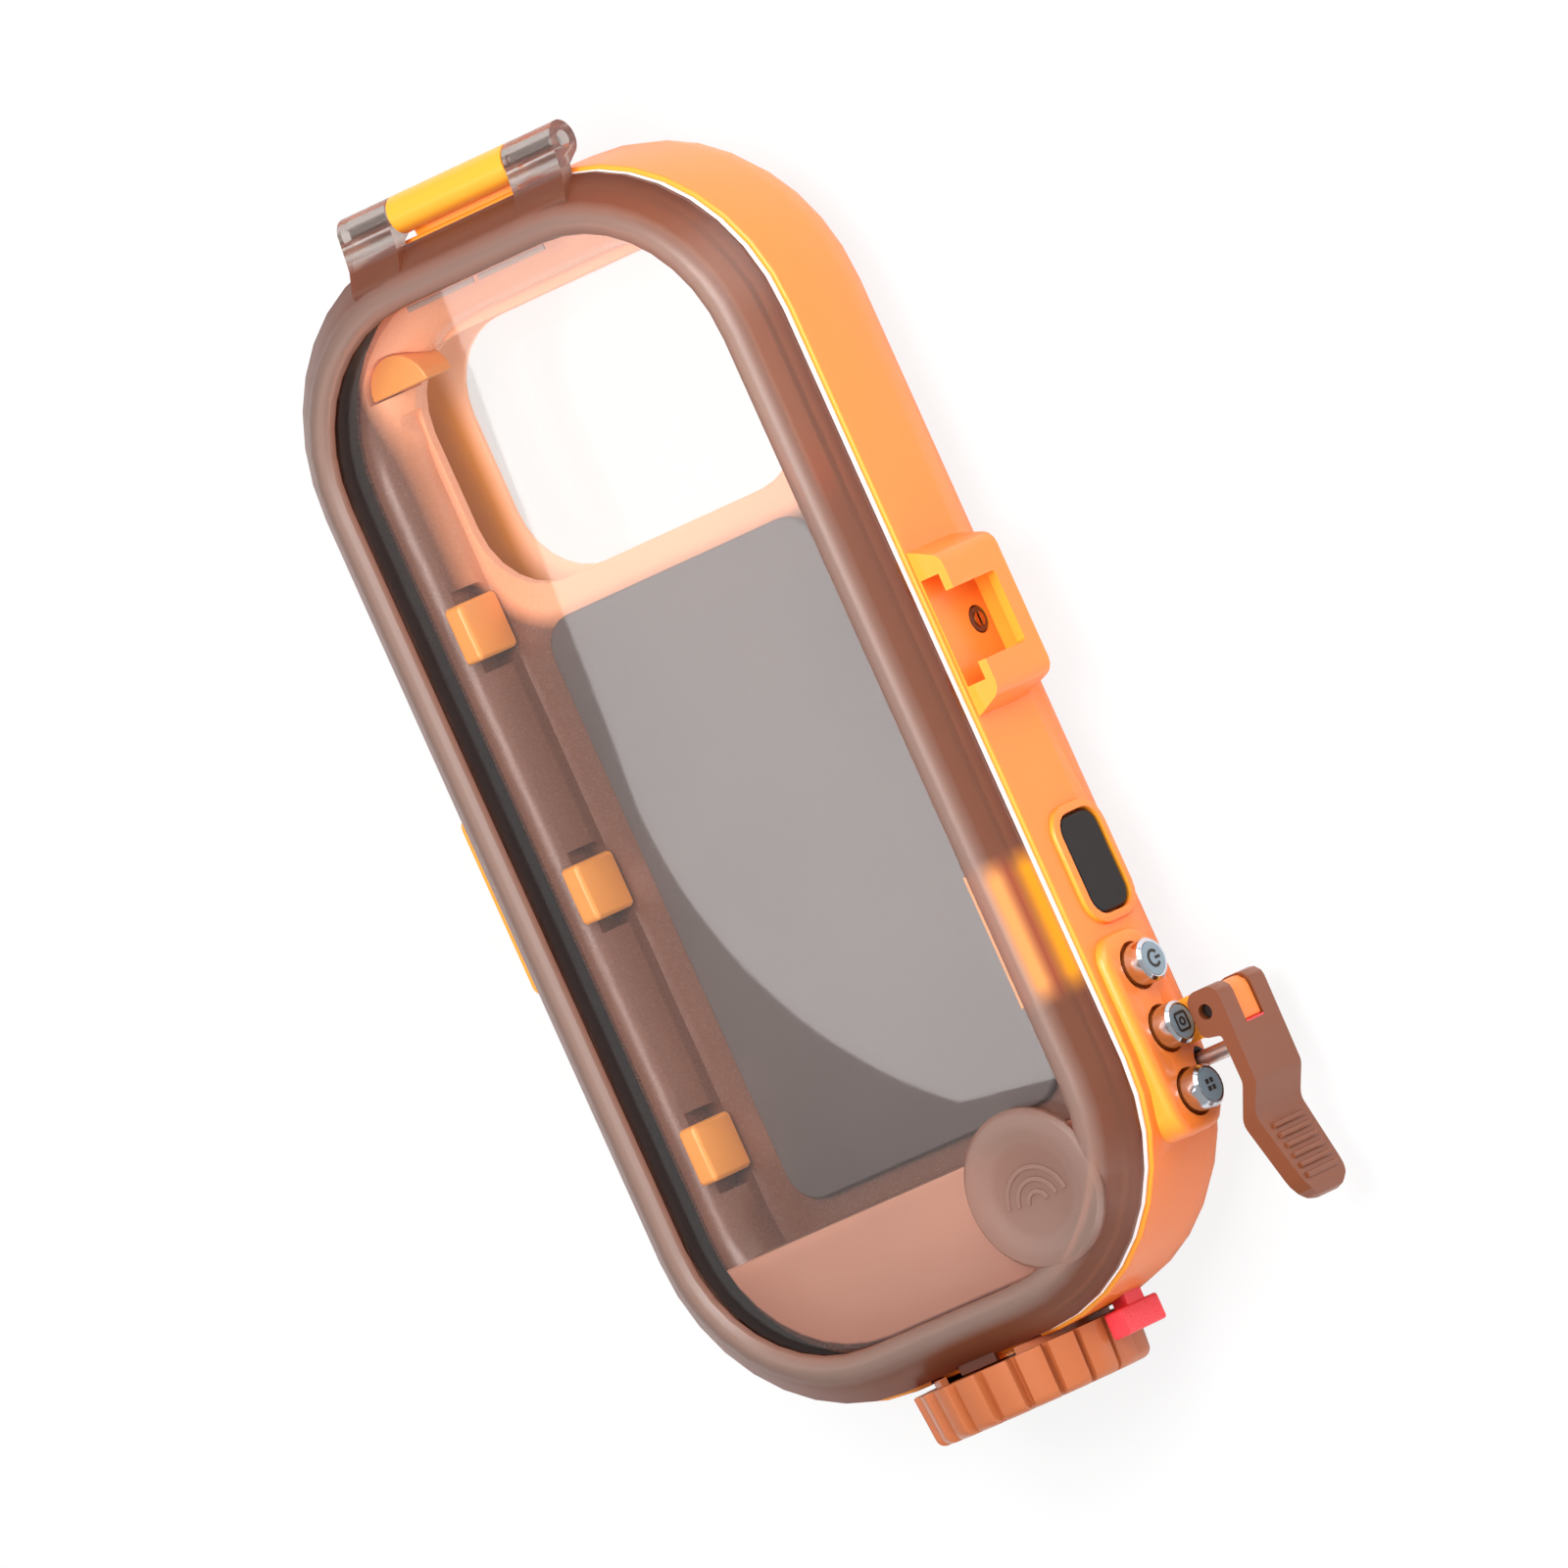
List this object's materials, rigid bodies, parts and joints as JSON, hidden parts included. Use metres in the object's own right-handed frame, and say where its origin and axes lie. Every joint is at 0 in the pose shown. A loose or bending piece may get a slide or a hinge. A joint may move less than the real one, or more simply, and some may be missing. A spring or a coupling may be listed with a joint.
{
  "type": "waterproof phone case",
  "caption": "Hinged hard dive case for a phone: front window, push buttons, squeeze shutter lever, twist lock, shoe slot and camera window in the back.",
  "frame": {"origin": "centre of the raised back frame that the case rests on, on its rest plane", "axes": "+X to the side with the buttons and the shutter lever, +Y towards the hinge, +Z out through the front window"},
  "size_m": [0.1246, 0.2268, 0.0403],
  "materials": {
    "shell": "smooth orange",
    "rim": "frosted smoke",
    "window": "clear polished",
    "seal": "pale silicone",
    "ring": "black",
    "brown": "satin brown",
    "foam": "soft black",
    "grip": "smooth orange",
    "steel": "satin",
    "chrome": "polished",
    "plate": "satin",
    "cell": "satin",
    "board": "satin",
    "lens": "polished black",
    "red": "smooth red"
  },
  "bodies": {
    "case": {"rear_shell": "shell", "main_seal": "seal", "hinge_pin": "steel", "camera_window": "window", "inner_liner": "brown", "phone_cushion": "foam", "side_bumper_1": "grip", "side_bumper_2": "grip", "side_bumper_3": "grip", "top_bumper": "grip", "clamp_rail_1": "steel", "clamp_rail_2": "steel", "electronics_cover": "plate", "battery_cell_1": "cell", "battery_cell_2": "cell", "circuit_board": "board", "side_lens": "lens", "shoe_insert": "brown", "button_seal_1": "ring", "button_seal_2": "ring", "button_seal_3": "ring", "rod_bush": "ring", "lever_pin": "steel", "knob_screw": "steel", "tripod_insert": "steel"},
    "cover": {"cover_rim": "rim", "cover_catch": "rim", "front_window": "window"},
    "knob": {"lock_knob": "brown", "lock_collar": "brown"},
    "lock": {"lock_tab": "red"},
    "button_a": {"button_1": "chrome", "button_clip_1": "steel"},
    "button_b": {"button_2": "chrome", "button_clip_2": "steel"},
    "button_c": {"button_3": "chrome", "button_clip_3": "steel"},
    "lever": {"shutter_lever": "brown"},
    "rod": {"push_rod": "steel"},
    "clamp": {"phone_clamp": "grip"}
  },
  "joints": [
    {"name": "cover_hinge", "type": "hinge", "parent": "case", "child": "cover", "pos_m": [0, 0.1088, 0.03155], "axis": [-1, 0, 0], "range_deg": [0, 110]},
    {"name": "knob_turn", "type": "hinge", "parent": "case", "child": "knob", "pos_m": [0, -0.1054, 0.02035], "axis": [0, 1, 0], "range_deg": [0, 90]},
    {"name": "lock_slide", "type": "slide", "parent": "case", "child": "lock", "axis": [-1, 0, 0], "range_m": [0, 0.0008]},
    {"name": "button_a_press", "type": "slide", "parent": "case", "child": "button_a", "axis": [-1, 0, 0], "range_m": [0, 0.0014], "stiffness_N_per_m": 300},
    {"name": "button_b_press", "type": "slide", "parent": "case", "child": "button_b", "axis": [-1, 0, 0], "range_m": [0, 0.0014], "stiffness_N_per_m": 300},
    {"name": "button_c_press", "type": "slide", "parent": "case", "child": "button_c", "axis": [-1, 0, 0], "range_m": [0, 0.0014], "stiffness_N_per_m": 300},
    {"name": "lever_swing", "type": "hinge", "parent": "case", "child": "lever", "pos_m": [0.0638, -0.0662, 0.01455], "axis": [0, 0, -1], "range_deg": [0, 10], "stiffness_Nm_per_rad": 0.3},
    {"name": "rod_slide", "type": "slide", "parent": "case", "child": "rod", "axis": [-1, 0, 0], "range_m": [0, 0.00125]},
    {"name": "clamp_slide", "type": "slide", "parent": "case", "child": "clamp", "axis": [1, 0, 0], "range_m": [-0.005, 0.002]}
  ],
  "couplings": [
    {"joint": "rod_slide", "follows": "lever_swing", "m_per_rad": 0.007}
  ]
}
